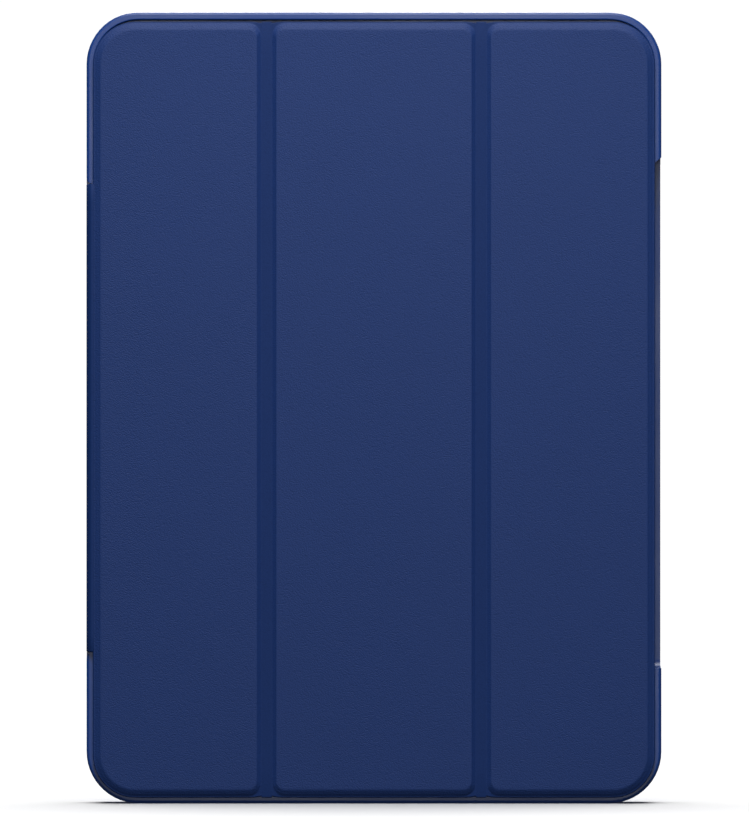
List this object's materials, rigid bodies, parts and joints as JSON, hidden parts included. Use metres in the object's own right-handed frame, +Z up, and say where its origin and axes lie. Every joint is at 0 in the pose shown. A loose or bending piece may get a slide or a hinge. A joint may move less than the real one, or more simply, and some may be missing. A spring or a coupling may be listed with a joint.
{
  "type": "tablet keyboard case",
  "caption": "Folding folio case for a tablet: three-panel cover that folds into a stand, soft bumper frame with stylus cutaway, and a slim magnetic keyboard held inside",
  "frame": {"origin": "middle of the footprint of the closed case standing on its bottom short edge", "axes": "+Z up along the long side, +X towards the cover's free edge with the spine at -X, -Y out of the front cover, +Y out of the back"},
  "size_m": [0.1838, 0.0164, 0.253],
  "materials": {
    "frame_soft": "satin moulded",
    "back_shell": "fine matt",
    "ring_soft": "satin",
    "lining_cloth": "brushed microfibre",
    "cover_leather": "fine grained",
    "board_stiff": "fibreboard",
    "magnet_metal": "nickel plated",
    "key_case": "matt",
    "key_caps": "matt",
    "support_metal": "rolled",
    "dome_rubber": "matt",
    "battery_foil": "pouch foil",
    "circuit": "solder mask",
    "socket_metal": "brushed",
    "light_pipe": "clear",
    "spacer_rubber": "matt",
    "switch_plastic": "satin"
  },
  "bodies": {
    "shell": {"bumper_frame": "frame_soft", "back_plate": "back_shell", "camera_ring": "ring_soft", "back_lining": "lining_cloth", "spine_flap": "cover_leather"},
    "spine": {"spine_skin": "cover_leather", "spine_board": "board_stiff", "spine_lining": "lining_cloth", "back_web": "cover_leather"},
    "panel_1": {"panel_1_skin": "cover_leather", "panel_1_board": "board_stiff", "panel_1_lining": "lining_cloth", "front_web": "cover_leather"},
    "panel_2": {"panel_2_skin": "cover_leather", "panel_2_board": "board_stiff", "panel_2_lining": "lining_cloth", "panel_2_magnets": "magnet_metal", "fold_web_1": "cover_leather"},
    "panel_3": {"panel_3_skin": "cover_leather", "panel_3_board": "board_stiff", "panel_3_lining": "lining_cloth", "panel_3_magnets": "magnet_metal", "fold_web_2": "cover_leather"},
    "keyboard": {"keyboard_lower_case": "key_case", "keyboard_deck": "key_case", "support_plate": "support_metal", "dome_sheet": "dome_rubber", "battery": "battery_foil", "circuit_board": "circuit", "charging_socket": "socket_metal", "status_light": "light_pipe", "glass_spacers": "spacer_rubber", "keyboard_magnets": "magnet_metal"},
    "keyboard_switch": {"power_switch": "switch_plastic"},
    "power_button_pad": {"power_button": "frame_soft"},
    "volume_up_button_pad": {"volume_up_button": "frame_soft"},
    "volume_down_button_pad": {"volume_down_button": "frame_soft"},
    "function_row_keys_set": {"function_row_keys": "key_caps"},
    "number_row_keys_set": {"number_row_keys": "key_caps"},
    "upper_letter_keys_set": {"upper_letter_keys": "key_caps"},
    "home_row_keys_set": {"home_row_keys": "key_caps"},
    "lower_letter_keys_set": {"lower_letter_keys": "key_caps"},
    "bottom_row_keys_set": {"bottom_row_keys": "key_caps"},
    "space_bar_set": {"space_bar": "key_caps"}
  },
  "joints": [
    {"name": "spine_swing", "type": "hinge", "parent": "shell", "child": "spine", "pos_m": [-0.09132, 0.00762, 0.12325], "axis": [0, 0, -1], "range_deg": [0, 180], "deforming": ["back_web"]},
    {"name": "cover_open", "type": "hinge", "parent": "spine", "child": "panel_1", "pos_m": [-0.09132, -0.00662, 0.12325], "axis": [0, 0, -1], "range_deg": [0, 180], "deforming": ["front_web"]},
    {"name": "fold_1", "type": "hinge", "parent": "panel_1", "child": "panel_2", "pos_m": [-0.0343, -0.00845, 0.12605], "axis": [0, 0, 1], "range_deg": [-125, 0], "deforming": ["fold_web_1"]},
    {"name": "fold_2", "type": "hinge", "parent": "panel_2", "child": "panel_3", "pos_m": [0.0343, -0.00845, 0.12605], "axis": [0, 0, 1], "range_deg": [-125, 0], "deforming": ["fold_web_2"]},
    {"name": "keyboard_release", "type": "slide", "parent": "panel_2", "child": "keyboard", "axis": [0, 1, 0], "range_m": [0, 0.005]},
    {"name": "keyboard_switch_slide", "type": "slide", "parent": "keyboard", "child": "keyboard_switch", "axis": [0, 0, -1], "range_m": [0, 0.003]},
    {"name": "power_button_press", "type": "slide", "parent": "shell", "child": "power_button_pad", "axis": [0, 0, -1], "range_m": [0, 0.0006], "stiffness_N_per_m": 1500},
    {"name": "volume_up_button_press", "type": "slide", "parent": "shell", "child": "volume_up_button_pad", "axis": [0, 0, -1], "range_m": [0, 0.0006], "stiffness_N_per_m": 1500},
    {"name": "volume_down_button_press", "type": "slide", "parent": "shell", "child": "volume_down_button_pad", "axis": [0, 0, -1], "range_m": [0, 0.0006], "stiffness_N_per_m": 1500},
    {"name": "function_row_keys_press", "type": "slide", "parent": "keyboard", "child": "function_row_keys_set", "axis": [0, -1, 0], "range_m": [0, 0.001], "stiffness_N_per_m": 400},
    {"name": "number_row_keys_press", "type": "slide", "parent": "keyboard", "child": "number_row_keys_set", "axis": [0, -1, 0], "range_m": [0, 0.001], "stiffness_N_per_m": 400},
    {"name": "upper_letter_keys_press", "type": "slide", "parent": "keyboard", "child": "upper_letter_keys_set", "axis": [0, -1, 0], "range_m": [0, 0.001], "stiffness_N_per_m": 400},
    {"name": "home_row_keys_press", "type": "slide", "parent": "keyboard", "child": "home_row_keys_set", "axis": [0, -1, 0], "range_m": [0, 0.001], "stiffness_N_per_m": 400},
    {"name": "lower_letter_keys_press", "type": "slide", "parent": "keyboard", "child": "lower_letter_keys_set", "axis": [0, -1, 0], "range_m": [0, 0.001], "stiffness_N_per_m": 400},
    {"name": "bottom_row_keys_press", "type": "slide", "parent": "keyboard", "child": "bottom_row_keys_set", "axis": [0, -1, 0], "range_m": [0, 0.001], "stiffness_N_per_m": 400},
    {"name": "space_bar_press", "type": "slide", "parent": "keyboard", "child": "space_bar_set", "axis": [0, -1, 0], "range_m": [0, 0.001], "stiffness_N_per_m": 400}
  ]
}
